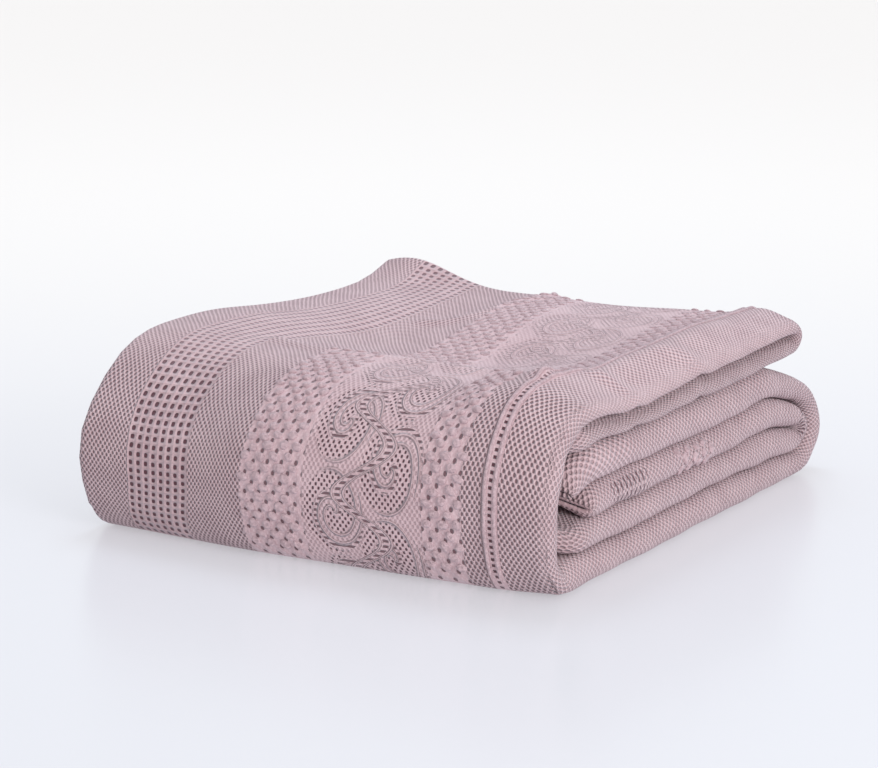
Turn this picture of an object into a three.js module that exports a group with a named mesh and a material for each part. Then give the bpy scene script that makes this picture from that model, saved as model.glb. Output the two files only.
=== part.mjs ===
// A knitted cotton blanket, folded in four across its width and then six times along its length.
//
// The cloth is one closed sheet. Two steps take it from flat to folded:
//   1. across the width it is rolled flat into a strip of four plies (X is the strip's width);
//   2. the strip is doubled at the far end of its top flap, and both halves are folded in three,
//      one inside the other, so six bands of four plies lie on each other (section in Y and Z).
// A smooth height map then lets the pile sag in the middle and stand up at its ridges.
import * as THREE from 'three';

// Driving sizes, in millimetres
const FOLDED_WIDTH = 368; // X, between the loops of the plies
const FOLDED_DEPTH = 433; // Y, from the near wrap to the far wrap
const PILE_HEIGHT = 119; // top of the pile where the height map is level
const CLOTH = 2.6; // thickness of the knit
const BODY_PITCH = 6.2; // from ply to ply in the four lower bands
const FLAP_PITCH = 3.75; // from ply to ply in the two bands of the pressed top flap
const WRAP_PITCH = 3.85; // from ply to ply where the cloth is drawn round the near side
const BAND_GAP = 1.2; // air between two of the lower bands
const WRAP_GAP = 2; // air between the two near wraps
const FAR_PITCH = 5.4; // from ply to ply round the far end
const FLAP_GAP = 1.6; // air under the flap

const RIGHT = FOLDED_WIDTH / 2;
const LEFT = -FOLDED_WIDTH / 2;
const NEAR = -FOLDED_DEPTH / 2;
const FAR = FOLDED_DEPTH / 2;

// Three pitches and one thickness of cloth make a band
const bandThickness = (pitch) => 3 * pitch + CLOTH;
const BODY_BAND = bandThickness(BODY_PITCH);
const FLAP_BAND = bandThickness(FLAP_PITCH);
const WRAP_BAND = bandThickness(WRAP_PITCH);
const FAR_BAND = bandThickness(FAR_PITCH);

// Heights of the bands' middles, from the floor up
const BODY_STEP = BODY_BAND + BAND_GAP;
const BAND_4 = BODY_BAND / 2;
const BAND_3 = BAND_4 + BODY_STEP;
const BAND_2 = BAND_3 + BODY_STEP;
const BAND_1 = BAND_2 + BODY_STEP;
const BODY_TOP = BAND_1 + BODY_BAND / 2;
const FLAP_UNDER = BODY_TOP + FLAP_GAP + FLAP_BAND / 2;
const FLAP_TOP = PILE_HEIGHT - FLAP_BAND / 2;

// Where the straight runs turn into the wraps
const NEAR_SHOULDER = -155; // the top rounds over to the near side from here
const NEAR_FOOT = -192; // the near side turns under to the floor here
const INNER_FOOT = -165; // the same for the inner wrap
const FAR_TURN = 173; // the lower bands turn round the far end from here
const FLAP_TURN = 180; // the flap's own fold starts here
const OPEN_END = -160; // the strip's two cut ends, inside the near wrap

// Y places of the cross rows on the straight runs
const ROWS = [-112, -45, 30, 105];

// Places of the cloth's columns across X, the same on each ply, so that the plies keep apart
const COLUMNS = [-115, -42, 30, 100, 145];

// The double cord that runs along the right of the pattern: offset from its middle, and height
const CORD_AT = 145;
const CORD_REACH = 6;
const CORD_STEPS = [
  { offset: -CORD_REACH, rise: 0 },
  { offset: -3.5, rise: 1.5 },
  { offset: 0, rise: 0.2 },
  { offset: 3.5, rise: 1.5 },
  { offset: CORD_REACH, rise: 0 },
];
const CORD_FADES = { from: 4, to: 30 }; // heights between which the cord flattens towards the floor

// How high the top lies: soft swells and hollows on a level
const TOP_LEVEL = 115;
const TOP_FORMS = [
  { name: 'near ridge', x: -8, y: -127, reachX: 275, reachY: 43, rise: 7 },
  { name: 'left hump', x: -160, y: -55, reachX: 61, reachY: 74, rise: 12.5 },
  { name: 'near right corner', x: 130, y: -185, reachX: 35, reachY: 57, rise: 11.5 },
  { name: 'slack near left shoulder', x: -137, y: -217, reachX: 105, reachY: 59, rise: -23 },
  { name: 'hollow behind the ridge', x: 10, y: 12, reachX: 86, reachY: 68, rise: -19.5 },
  { name: 'trough beside the holes', x: -74, y: 69, reachX: 40, reachY: 97, rise: -8 },
  { name: 'raised far left corner', x: -152, y: 200, reachX: 47, reachY: 37, rise: 16 },
  { name: 'right border swell', x: 153, y: 37, reachX: 23, reachY: 160, rise: 14 },
  { name: 'left end dip', x: -190, y: 89, reachX: 20, reachY: 37, rise: -5 },
  { name: 'far end dip', x: 29, y: 206, reachX: 62, reachY: 40, rise: -6.5 },
];

const smooth = (x, from, to) => THREE.MathUtils.smoothstep(x, from, to);

function topHeight(x, y) {
  let height = TOP_LEVEL;
  for (const { x: cx, y: cy, reachX, reachY, rise } of TOP_FORMS) {
    height += rise * Math.exp(-(((x - cx) / reachX) ** 2) - ((y - cy) / reachY) ** 2);
  }
  return height;
}

// One row of the strip: its middle in Y and Z, the way it runs, and how its plies lie
function row(y, z, runY, runZ, style) {
  const length = Math.hypot(runY, runZ);
  const cord = style.cord * smooth(z, CORD_FADES.from, CORD_FADES.to);
  return { y, z, normalY: -runZ / length, normalZ: runY / length, ...style, cord };
}

// A level run at height z through the given places in Y
function levelRun(places, z, style) {
  const direction = Math.sign(places[places.length - 1] - places[0]);
  return places.map((y) => row(y, z, direction, 0, style));
}

// Part of an ellipse round (y, z), without its two end points. Angles are in degrees, 0 is +Y, 90 is +Z.
function bend(y, z, radiusY, radiusZ, from, to, steps, style) {
  const rows = [];
  const turn = Math.sign(to - from);
  for (let i = 1; i < steps; i += 1) {
    const angle = THREE.MathUtils.degToRad(from + ((to - from) * i) / steps);
    const runY = -Math.sin(angle) * radiusY * turn;
    const runZ = Math.cos(angle) * radiusZ * turn;
    rows.push(row(y + Math.cos(angle) * radiusY, z + Math.sin(angle) * radiusZ, runY, runZ, style));
  }
  return rows;
}

// The whole strip, from the open end of band 1 round to the open end of band 2
function stripRows() {
  const body = { pitch: BODY_PITCH, right: RIGHT, cord: 0, flap: 0 };
  const farWrap = { ...body, pitch: FAR_PITCH };
  const wrap = { pitch: WRAP_PITCH, right: RIGHT, cord: 1, flap: 0 };
  const innerWrap = { pitch: WRAP_PITCH, right: RIGHT - 12, cord: 0, flap: 0 };
  const flap = { pitch: FLAP_PITCH, right: RIGHT, cord: 1, flap: 1 };
  const flapUnder = { ...flap, cord: 0 };

  const bodyPlaces = [NEAR_FOOT, ...ROWS, FAR_TURN];
  const innerPlaces = [INNER_FOOT, ...ROWS, FAR_TURN];
  const flapPlaces = [NEAR_SHOULDER, ...ROWS, FLAP_TURN];
  const back = (places) => [...places].reverse();

  const farZ = (BAND_1 + BAND_4) / 2;
  const farRadius = (BAND_1 - BAND_4) / 2;
  const innerFarRadius = (BAND_2 - BAND_3) / 2;
  const nearZ = (FLAP_TOP + BAND_4) / 2;
  const nearRise = (FLAP_TOP - BAND_4) / 2;
  const nearMiddle = NEAR + WRAP_BAND / 2;
  const innerNearZ = (FLAP_UNDER + BAND_3) / 2;
  const innerNearRise = (FLAP_UNDER - BAND_3) / 2;
  const innerNearMiddle = nearMiddle + WRAP_BAND + WRAP_GAP;
  const foldZ = (FLAP_TOP + FLAP_UNDER) / 2;
  const foldRadius = (FLAP_TOP - FLAP_UNDER) / 2;
  const farReach = FAR - FAR_BAND / 2 - FAR_TURN;

  return [
    ...levelRun([OPEN_END, ...ROWS, FAR_TURN], BAND_1, body),
    ...bend(FAR_TURN, farZ, farReach, farRadius, 90, -90, 7, farWrap),
    ...levelRun(back(bodyPlaces), BAND_4, body),
    ...bend(NEAR_FOOT, nearZ, NEAR_FOOT - nearMiddle, nearRise, 270, 180, 5, wrap),
    row(nearMiddle, nearZ, 0, 1, wrap),
    ...bend(NEAR_SHOULDER, nearZ, NEAR_SHOULDER - nearMiddle, nearRise, 180, 90, 5, wrap),
    ...levelRun(flapPlaces, FLAP_TOP, flap),
    ...bend(FLAP_TURN, foldZ, foldRadius, foldRadius, 90, -90, 4, flap),
    ...levelRun(back(flapPlaces), FLAP_UNDER, flapUnder),
    ...bend(NEAR_SHOULDER, innerNearZ, NEAR_SHOULDER - innerNearMiddle, innerNearRise, 90, 180, 5, innerWrap),
    row(innerNearMiddle, innerNearZ, 0, -1, innerWrap),
    ...bend(INNER_FOOT, innerNearZ, INNER_FOOT - innerNearMiddle, innerNearRise, 180, 270, 5, innerWrap),
    ...levelRun(innerPlaces, BAND_3, body),
    ...bend(FAR_TURN, farZ, innerFarRadius, innerFarRadius, -90, 90, 4, farWrap),
    ...levelRun([FAR_TURN, ...back(ROWS), OPEN_END], BAND_2, body),
  ];
  return rows;
}

// The path of the cloth across one row: from the edge in the middle of the roll, round twice, to the
// edge at the roll's inner left. Each step has a place (x, n), the side that faces out, and a rise.
function pathAcross({ pitch, right, cord }) {
  const loopRight = right - 1.5 * pitch - CLOTH / 2;
  const loopLeft = LEFT + pitch + CLOTH / 2;
  const steps = [];
  const put = (x, n, outX, outN, rise = 0) => steps.push({ x, n, outX, outN, rise });
  const loop = (x, n, radius, from, to, count) => {
    for (let i = 1; i < count; i += 1) {
      const angle = THREE.MathUtils.degToRad(from + ((to - from) * i) / count);
      put(x + radius * Math.cos(angle), n + radius * Math.sin(angle), Math.cos(angle), Math.sin(angle));
    }
  };
  const toRight = [loopLeft, ...COLUMNS, loopRight];
  const toLeft = [...toRight].reverse();

  toRight.forEach((x) => put(x, 0.5 * pitch, 0, 1));
  loop(loopRight, 0, 0.5 * pitch, 90, -90, 4);
  toLeft.forEach((x) => put(x, -0.5 * pitch, 0, -1));
  loop(loopLeft, 0.5 * pitch, pitch, 270, 90, 4);
  toRight.forEach((x) => {
    if (x === CORD_AT) {
      CORD_STEPS.forEach(({ offset, rise }) => put(x + offset, 1.5 * pitch, 0, 1, rise * cord));
    } else {
      put(x, 1.5 * pitch, 0, 1);
    }
  });
  loop(loopRight, 0, 1.5 * pitch, 90, -90, 6);
  toLeft.forEach((x) => put(x, -1.5 * pitch, 0, -1));
  return steps;
}

// The pressed flap thins to a crease at the right and droops onto what lies under it
const CREASE_START = RIGHT - 30;
const CREASE_THINNING = 0.35;
const CREASE_DROOP = 0.5;

// The far end of the flap lies askew. The left end draws in towards the back, and in plan the near side
// draws in towards the left. The lower bands thin towards their far turn.
const FLAP_SKEW = 15;
const LEFT_DRAW = 8;
const NEAR_DRAW = 12;
const NEAR_DRAW_ENDS = { from: -200, to: -20 }; // in X
const FAR_TAPER = 0.2;

function place(x, n, station) {
  const crease = station.flap * smooth(x, CREASE_START, RIGHT);
  const lies = n * (1 - CREASE_THINNING * crease);
  let y = station.y + lies * station.normalY;
  let z = station.z + lies * station.normalZ;
  z -= CREASE_DROOP * crease;
  const settled = topHeight(x, y) / PILE_HEIGHT;
  if (station.flap) {
    z *= settled;
    y -= FLAP_SKEW * (x / RIGHT) * smooth(y, 0, FLAP_TURN);
  } else {
    z *= settled * (1 - FAR_TAPER * smooth(y, 120, 190));
  }
  const drawnRight = LEFT_DRAW * smooth(y, -60, FAR) * Math.max(0, x / LEFT);
  const drawnBack = NEAR_DRAW * (1 - smooth(x, NEAR_DRAW_ENDS.from, NEAR_DRAW_ENDS.to)) * (1 - smooth(y, -190, -60));
  return new THREE.Vector3(x + drawnRight, y + drawnBack, z);
}

// The path's column places between two main columns, taken along the straight line between them
function placeOnChord(step, station) {
  if (Math.abs(step.x - CORD_AT) > CORD_REACH || step.rise === undefined || step.n < station.pitch) {
    return null;
  }
  const next = COLUMNS.indexOf(CORD_AT);
  const before = COLUMNS[next - 1];
  const after = station.right - 1.5 * station.pitch - CLOTH / 2;
  const [from, to] = step.x < CORD_AT ? [before, CORD_AT] : [CORD_AT, after];
  return { from, to, share: (step.x - from) / (to - from) };
}

function surfacePoint(step, station, side) {
  const n = step.n + (side * CLOTH * step.outN) / 2;
  const chord = placeOnChord(step, station);
  const point = chord
    ? place(chord.from, n, station).lerp(place(chord.to, n, station), chord.share)
    : place(step.x + (side * CLOTH * step.outX) / 2, n, station);
  if (side > 0 && step.rise) {
    point.y += step.rise * station.normalY;
    point.z += step.rise * station.normalZ;
  }
  return point;
}

// Both faces of the cloth and the four rims that close it
function blanketGeometry() {
  const stations = stripRows();
  const faces = [];
  const points = [];
  const addFace = (side) => stations.map((station) => pathAcross(station).map((step) => {
    points.push(surfacePoint(step, station, side));
    return points.length - 1;
  }));
  const outer = addFace(1);
  const inner = addFace(-1);
  // Every ply's four-sided patches are split along the same slant, so that plies never cut each other
  const slants = (a, b, d) => {
    const across = points[b].x - points[a].x;
    const step = points[d].clone().sub(points[a]);
    const along = Math.abs(step.y) > Math.abs(step.z) ? step.y : step.z * Math.sign(points[a].y);
    return across * along >= 0;
  };
  const quad = (a, b, c, d) => {
    if (slants(a, b, d)) {
      faces.push(a, b, c, a, c, d);
    } else {
      faces.push(a, b, d, b, c, d);
    }
  };
  const quadBack = (a, b, c, d) => {
    if (slants(a, b, d)) {
      faces.push(a, c, b, a, d, c);
    } else {
      faces.push(a, d, b, b, d, c);
    }
  };
  const rim = (a, b, c, d) => faces.push(a, b, c, a, c, d);
  const rowCount = outer.length;
  const stepCount = outer[0].length;
  for (let i = 0; i < rowCount - 1; i += 1) {
    for (let j = 0; j < stepCount - 1; j += 1) {
      quad(outer[i][j], outer[i][j + 1], outer[i + 1][j + 1], outer[i + 1][j]);
      quadBack(inner[i][j], inner[i][j + 1], inner[i + 1][j + 1], inner[i + 1][j]);
    }
    rim(outer[i][0], outer[i + 1][0], inner[i + 1][0], inner[i][0]);
    rim(outer[i][stepCount - 1], inner[i][stepCount - 1], inner[i + 1][stepCount - 1], outer[i + 1][stepCount - 1]);
  }
  for (let j = 0; j < stepCount - 1; j += 1) {
    rim(outer[0][j], inner[0][j], inner[0][j + 1], outer[0][j + 1]);
    rim(outer[rowCount - 1][j], outer[rowCount - 1][j + 1], inner[rowCount - 1][j + 1], inner[rowCount - 1][j]);
  }
  const geometry = new THREE.BufferGeometry();
  geometry.setFromPoints(points);
  geometry.setIndex(faces);
  centreOnBase(geometry);
  geometry.computeVertexNormals();
  return geometry;
}

// The origin is the middle of the box, at the floor
function centreOnBase(geometry) {
  geometry.computeBoundingBox();
  const { min, max } = geometry.boundingBox;
  geometry.translate(-(min.x + max.x) / 2, -(min.y + max.y) / 2, -min.z);
}

const knit = new THREE.MeshStandardMaterial({ color: 0xc3abb3, roughness: 0.95, metalness: 0 });
const blanket = new THREE.Mesh(blanketGeometry(), knit);
blanket.name = 'blanket';

const group = new THREE.Group();
group.add(blanket);

export default group;
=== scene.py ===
# %% [markdown]
# # A folded knitted blanket
# The blanket is one long sheet of cotton knit. We start with the flat cloth, fold it in four across its
# width and six along its length by moving its vertices, give it a thickness, and then lay the raised
# parts of the knit on it. Everything is in metres inside Blender, and the tables below are in millimetres
# because cloth is small.

# %% Load the frame
import math
import bpy
import numpy as np
from mathutils import Matrix, Vector


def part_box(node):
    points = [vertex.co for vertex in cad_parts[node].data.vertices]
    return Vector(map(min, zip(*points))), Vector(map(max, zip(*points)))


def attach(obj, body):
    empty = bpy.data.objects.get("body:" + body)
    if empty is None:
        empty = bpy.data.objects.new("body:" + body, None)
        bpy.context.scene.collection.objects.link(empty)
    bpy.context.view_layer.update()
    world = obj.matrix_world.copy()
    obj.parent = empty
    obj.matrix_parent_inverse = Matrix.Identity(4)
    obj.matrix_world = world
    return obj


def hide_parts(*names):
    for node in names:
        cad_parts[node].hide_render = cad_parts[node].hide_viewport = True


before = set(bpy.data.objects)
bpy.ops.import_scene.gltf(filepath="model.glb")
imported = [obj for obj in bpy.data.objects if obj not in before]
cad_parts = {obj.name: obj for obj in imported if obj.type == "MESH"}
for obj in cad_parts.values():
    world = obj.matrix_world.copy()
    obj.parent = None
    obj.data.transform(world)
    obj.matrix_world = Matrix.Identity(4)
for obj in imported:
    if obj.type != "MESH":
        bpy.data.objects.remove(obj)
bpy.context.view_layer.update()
MM = 0.001
low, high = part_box("blanket")
print("solid from", tuple(round(v, 4) for v in low), "to", tuple(round(v, 4) for v in high))

# %% [markdown]
# ## Sizes
# These are the same driving sizes as the solid's. The strip is four plies thick, and its path in Y and Z
# runs from one cut end, round the far end, along the floor, up the near side, over the top, back under
# the flap and home.

# %% Sizes in millimetres
RIGHT, LEFT, NEAR, FAR = 184.0, -184.0, -216.5, 216.5
PILE_HEIGHT = 119.0
CLOTH = 2.6
BODY_PITCH, FLAP_PITCH, WRAP_PITCH, FAR_PITCH = 6.2, 3.75, 3.85, 5.4
BAND_GAP, WRAP_GAP, FLAP_GAP = 1.2, 2.0, 1.6
NEAR_SHOULDER, NEAR_FOOT, INNER_FOOT = -155.0, -192.0, -165.0
FAR_TURN, FLAP_TURN, OPEN_END = 173.0, 180.0, -160.0


def band(pitch):
    """Thickness of four plies of cloth at this pitch."""
    return 3 * pitch + CLOTH


BODY_STEP = band(BODY_PITCH) + BAND_GAP
BAND_4 = band(BODY_PITCH) / 2
BAND_3 = BAND_4 + BODY_STEP
BAND_2 = BAND_3 + BODY_STEP
BAND_1 = BAND_2 + BODY_STEP
FLAP_UNDER = BAND_1 + band(BODY_PITCH) / 2 + FLAP_GAP + band(FLAP_PITCH) / 2
FLAP_TOP = PILE_HEIGHT - band(FLAP_PITCH) / 2
print("layers lie at", [round(z, 1) for z in (BAND_4, BAND_3, BAND_2, BAND_1, FLAP_UNDER, FLAP_TOP)], "mm")

# %% [markdown]
# ## The path along the strip
# Straight runs and quarter ellipses follow one another. Each gives points on the strip's middle line. We
# join them into one long line, so a distance along the cloth can be turned into a place by interpolation.

# %% Path along the strip
STEP = 2.0
LEAST_POINTS, SOFTEN_POINTS = 12, 9


def run(y_from, y_to, z, pitch, name):
    """A level run of the strip."""
    count = max(2, int(abs(y_to - y_from) / STEP))
    y = y_from + (y_to - y_from) * np.linspace(0, 1, count)
    return dict(name=name, y=y, z=np.full(count, z), pitch=np.full(count, pitch))


def bend(y, z, radius_y, radius_z, start, end, pitch, name):
    """Part of an ellipse round (y, z), angles in degrees, 0 towards +Y and 90 up."""
    length = math.radians(abs(end - start)) * (radius_y + radius_z) / 2
    count = max(LEAST_POINTS, int(length / STEP))
    angle = np.radians(np.linspace(start, end, count + 2)[1:-1])
    places = dict(y=y + np.cos(angle) * radius_y, z=z + np.sin(angle) * radius_z)
    return dict(name=name, pitch=np.full(count, pitch), **places)


far_z = (BAND_1 + BAND_4) / 2
far_rise = (BAND_1 - BAND_4) / 2
far_reach = FAR - band(FAR_PITCH) / 2 - FAR_TURN
inner_far = (BAND_2 - BAND_3) / 2
near_z = (FLAP_TOP + BAND_4) / 2
near_rise = (FLAP_TOP - BAND_4) / 2
near_middle = NEAR + band(WRAP_PITCH) / 2
inner_z = (FLAP_UNDER + BAND_3) / 2
inner_rise = (FLAP_UNDER - BAND_3) / 2
inner_middle = near_middle + band(WRAP_PITCH) + WRAP_GAP
fold_z = (FLAP_TOP + FLAP_UNDER) / 2
fold_radius = (FLAP_TOP - FLAP_UNDER) / 2
foot_reach, shoulder_reach = NEAR_FOOT - near_middle, NEAR_SHOULDER - near_middle
inner_foot_reach, inner_shoulder_reach = INNER_FOOT - inner_middle, NEAR_SHOULDER - inner_middle

PIECES = [
    run(OPEN_END, FAR_TURN, BAND_1, BODY_PITCH, "band 1"),
    bend(FAR_TURN, far_z, far_reach, far_rise, 90, -90, FAR_PITCH, "far wrap"),
    run(FAR_TURN, NEAR_FOOT, BAND_4, BODY_PITCH, "band 4"),
    bend(NEAR_FOOT, near_z, foot_reach, near_rise, 270, 180, WRAP_PITCH, "near foot"),
    bend(NEAR_SHOULDER, near_z, shoulder_reach, near_rise, 180, 90, WRAP_PITCH, "near shoulder"),
    run(NEAR_SHOULDER, FLAP_TURN, FLAP_TOP, FLAP_PITCH, "flap top"),
    bend(FLAP_TURN, fold_z, fold_radius, fold_radius, 90, -90, FLAP_PITCH, "flap end"),
    run(FLAP_TURN, NEAR_SHOULDER, FLAP_UNDER, FLAP_PITCH, "flap under"),
    bend(NEAR_SHOULDER, inner_z, inner_shoulder_reach, inner_rise, 90, 180, WRAP_PITCH, "inner shoulder"),
    bend(INNER_FOOT, inner_z, inner_foot_reach, inner_rise, 180, 270, WRAP_PITCH, "inner foot"),
    run(INNER_FOOT, FAR_TURN, BAND_3, BODY_PITCH, "band 3"),
    bend(FAR_TURN, far_z, inner_far, inner_far, -90, 90, FAR_PITCH, "inner far wrap"),
    run(FAR_TURN, OPEN_END, BAND_2, BODY_PITCH, "band 2"),
]

path_y = np.concatenate([p["y"] for p in PIECES])
path_z = np.concatenate([p["z"] for p in PIECES])
path_pitch = np.concatenate([p["pitch"] for p in PIECES])
path_piece = np.concatenate([np.full(len(p["y"]), i) for i, p in enumerate(PIECES)])
path_t = np.concatenate([[0], np.cumsum(np.hypot(np.diff(path_y), np.diff(path_z)))])
soften = np.ones(SOFTEN_POINTS) / SOFTEN_POINTS
path_pitch = np.convolve(np.pad(path_pitch, SOFTEN_POINTS // 2, mode="edge"), soften, mode="valid")
STRIP_LENGTH = float(path_t[-1])
STARTS = {p["name"]: float(path_t[np.argmax(path_piece == i)]) for i, p in enumerate(PIECES)}
run_y = np.gradient(path_y, path_t)
run_z = np.gradient(path_z, path_t)
run_length = np.hypot(run_y, run_z)
path_ny = -run_z / run_length
path_nz = run_y / run_length
print("strip is", round(STRIP_LENGTH), "mm long")
print("its parts start at", {name: round(start) for name, start in STARTS.items()})

# %% [markdown]
# ## The path across the strip
# Across its width the cloth is rolled flat into four plies, called a, b, c and d from the inside out. A
# distance across the cloth falls in one of seven parts: four plies and the three loops between them.

# %% Path across the strip
PLY = 354.0
PARTS = [
    # name, size across
    ("a", PLY),
    ("loop ab", 8.0),
    ("b", PLY),
    ("loop bc", 17.0),
    ("c", PLY),
    ("loop cd", 26.0),
    ("d", PLY),
]
PART_START = np.concatenate([[0], np.cumsum([size for _, size in PARTS])])
STRIP_WIDTH = float(PART_START[-1])
LOOP_BC, C_START, C_END, D_START = (float(start) for start in PART_START[3:7])
# Plies a, b, c and d by their place in PARTS, with their level in pitches from the strip's middle.
PLY_LEVELS = ((0, 0.5), (2, -0.5), (4, 1.5), (6, -1.5))
# The same for the two loops at the right. A loop is round at a squareness of 2, and more pointed below it.
RIGHT_LOOPS = ((1, 0.5), (5, 1.5))
LOOP_SQUARE = 1.85


def across(s, pitch, right):
    """Place (x, n) of a distance s across the cloth, where n is measured from the strip's middle."""
    part = np.clip(np.searchsorted(PART_START, s, side="right") - 1, 0, len(PARTS) - 1)
    share = (s - PART_START[part]) / (PART_START[part + 1] - PART_START[part])
    loop_right = right - 1.5 * pitch - CLOTH / 2
    loop_left = LEFT + pitch + CLOTH / 2
    width = loop_right - loop_left
    angle = math.pi * share
    bulge = np.abs(np.sin(angle)) ** (2 / LOOP_SQUARE)
    rise = np.sign(np.cos(angle)) * np.abs(np.cos(angle)) ** (2 / LOOP_SQUARE)
    x = np.zeros_like(s)
    n = np.zeros_like(s)
    for index, level in PLY_LEVELS:
        here = part == index
        forward = share if level > 0 else 1 - share
        x[here] = (loop_left + width * forward)[here]
        n[here] = (level * pitch)[here]
    for index, level in RIGHT_LOOPS:
        here = part == index
        x[here] = (loop_right + level * pitch * bulge)[here]
        n[here] = (level * pitch * rise)[here]
    here = part == 3
    x[here] = (loop_left - pitch * np.sin(angle))[here]
    n[here] = (pitch * (0.5 - np.cos(angle)))[here]
    return x, n


print("cloth is", round(STRIP_WIDTH), "by", round(STRIP_LENGTH), "mm")

# %% [markdown]
# ## How the pile lies
# Cloth settles unevenly. A level and a list of soft swells and hollows give the height of the top
# everywhere. The layers below follow it in proportion to their own height. Sharper creases are added to
# the top layer alone.

# %% Heights and creases
TOP_LEVEL = 115.0
TOP_FORMS = [
    # x, y, reach in x, reach in y, rise
    (-8, -127, 275, 43, 7),
    (-160, -55, 61, 80, 11.5),
    (130, -185, 35, 57, 11.5),
    (-137, -217, 105, 59, -23),
    (10, 12, 86, 68, -19.5),
    (-74, 69, 40, 97, -8),
    (-158, 203, 44, 37, 20),
    (153, 37, 23, 160, 14),
    (-190, 89, 20, 37, -1),
    (29, 206, 62, 40, -3.5),
    (95, 205, 50, 40, 3),
    (176, 185, 40, 50, 4),
]


def smooth(v, start, end):
    """0 before start, 1 after end, and an S-shaped rise between them."""
    share = np.clip((v - start) / (end - start), 0, 1)
    return share * share * (3 - 2 * share)


def hump(v, rise_from, rise_to, fall_from, fall_to):
    """1 between rise_to and fall_from and 0 outside, with S-shaped sides."""
    return smooth(v, rise_from, rise_to) * (1 - smooth(v, fall_from, fall_to))


RIDGES = [
    # height, half width, places (x, y)
    (4.0, 9, [(-90, -92), (-46, -100), (40, -108), (100, -122), (137, -138)]),
    (2.5, 8, [(137, -138), (143, -116), (150, -101), (165, -91), (184, -89)]),
    (2.5, 9, [(158, -92), (152, -47), (158, -9), (170, 8), (184, 8)]),
    (2.5, 7, [(-80, 80), (-63, 92), (-50, 112), (-43, 135), (-36, 152), (-20, 201)]),
]


def ridge_height(x, y):
    """Extra height of the top layer from its creases, each a soft ridge along a line."""
    total = np.zeros(np.shape(x))
    for height, width, places in RIDGES:
        nearest = np.full(np.shape(x), np.inf)
        for (ax, ay), (bx, by) in zip(places, places[1:]):
            dx, dy = bx - ax, by - ay
            share = np.clip(((x - ax) * dx + (y - ay) * dy) / (dx * dx + dy * dy), 0, 1)
            nearest = np.minimum(nearest, np.hypot(x - ax - share * dx, y - ay - share * dy))
        total = total + height * np.exp(-(nearest / width) ** 2)
    return total


def top_height(x, y):
    """Height of the top of the pile, in millimetres."""
    height = np.full(np.shape(x), TOP_LEVEL)
    for cx, cy, reach_x, reach_y, rise in TOP_FORMS:
        height = height + rise * np.exp(-((x - cx) / reach_x) ** 2 - ((y - cy) / reach_y) ** 2)
    return height


middle_height = float(top_height(0.0, 0.0))
print("top is", round(middle_height, 1), "mm high in the middle, with", len(RIDGES), "creases")

# %% [markdown]
# ## Uneven layers
# No real pile is square. The cut ends splay and curl, the right end waves a little, the near foot tucks
# in and the left side leans. Each of these moves neighbouring layers together, so no layer passes through
# another. A pair of numbers says where an effect begins and is whole, and four numbers say where it
# begins, is whole, fades and ends.

# %% Uneven layers
OPEN_ENDS = [
    # at the start of the strip, push towards the near side, drop
    (True, 23.0, 8.0),
    (False, -6.0, 2.0),
]
PUSH_REACH, PUSH_ACROSS = 60.0, (130.0, 170.0)
CURL_REACH, CURL_ACROSS = 38.0, (130.0, 176.0)
RIGHT_END, RIGHT_FOLD = (110.0, RIGHT), (135.0, RIGHT)
# Each wave is millimetres along Y and up Z for one radian, and where it starts.
LONG_WAVE, SHORT_WAVE, SLOW_WAVE = (33.0, 23.0, 0.0), (13.1, -12.0, 1.0), (47.0, 29.0, 2.0)
EDGE_WAVE, EDGE_SLOW_WAVE = (12.0, 5.0, 0.0), (27.0, math.inf, 1.3)
WAVE_RISE, SHORT_WAVE_SHARE, WAVE_INWARD = 0.8, 0.6, 0.9
WAVE_HEIGHTS = (0.0, 25.0)
DIP_DEPTH, DIP_MIDDLE, DIP_REACH, DIP_HEIGHTS = 6.0, -95.0, 42.0, (84.0, 104.0)
SAG_DEPTH, SAG_ACROSS, SAG_ALONG, SAG_HEIGHTS = 2.8, (130.0, RIGHT), (20.0, 120.0), (25.0, 55.0, 75.0, 95.0)
FOOT_TUCK, FOOT_TUCK_TOP, FOOT_TUCK_ALONG = 10.0, 46.0, (-198.0, -120.0)
CORNER_DROP, CORNER_MIDDLE, CORNER_REACH, CORNER_HEIGHTS = 5.0, -182.0, 16.0, (19.0, 30.0, 30.0, 48.0)
SWELL, SWELL_ALONG, SWELL_HEIGHTS = 3.0, (-205.0, -175.0), (20.0, 50.0, 85.0, 105.0)
LEFT_LEAN, LEFT_LEAN_LEVEL, LEFT_LEAN_ACROSS = 5.5, 60.0, (60.0, -LEFT)
FAR_SAG, FAR_SAG_ALONG, FAR_SAG_HEIGHTS = 5.0, (150.0, FAR), (20.0, 60.0)


def open_ends(x, y, z, t):
    """The two cut ends of the strip splay towards the near side at the right, and curl down."""
    for at_start, push, drop in OPEN_ENDS:
        distance = t if at_start else STRIP_LENGTH - t
        near_end = np.clip(1 - distance / PUSH_REACH, 0, 1) * smooth(x, *PUSH_ACROSS)
        curl = np.clip(1 - distance / CURL_REACH, 0, 1) ** 2 * smooth(x, *CURL_ACROSS)
        y = y - push * near_end
        z = z - drop * curl
    return x, y, z


def wave_at(y, z, wave):
    """A wave of the right end, from -1 to 1."""
    along, up, start = wave
    return np.sin(y / along + z / up + start)


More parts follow.
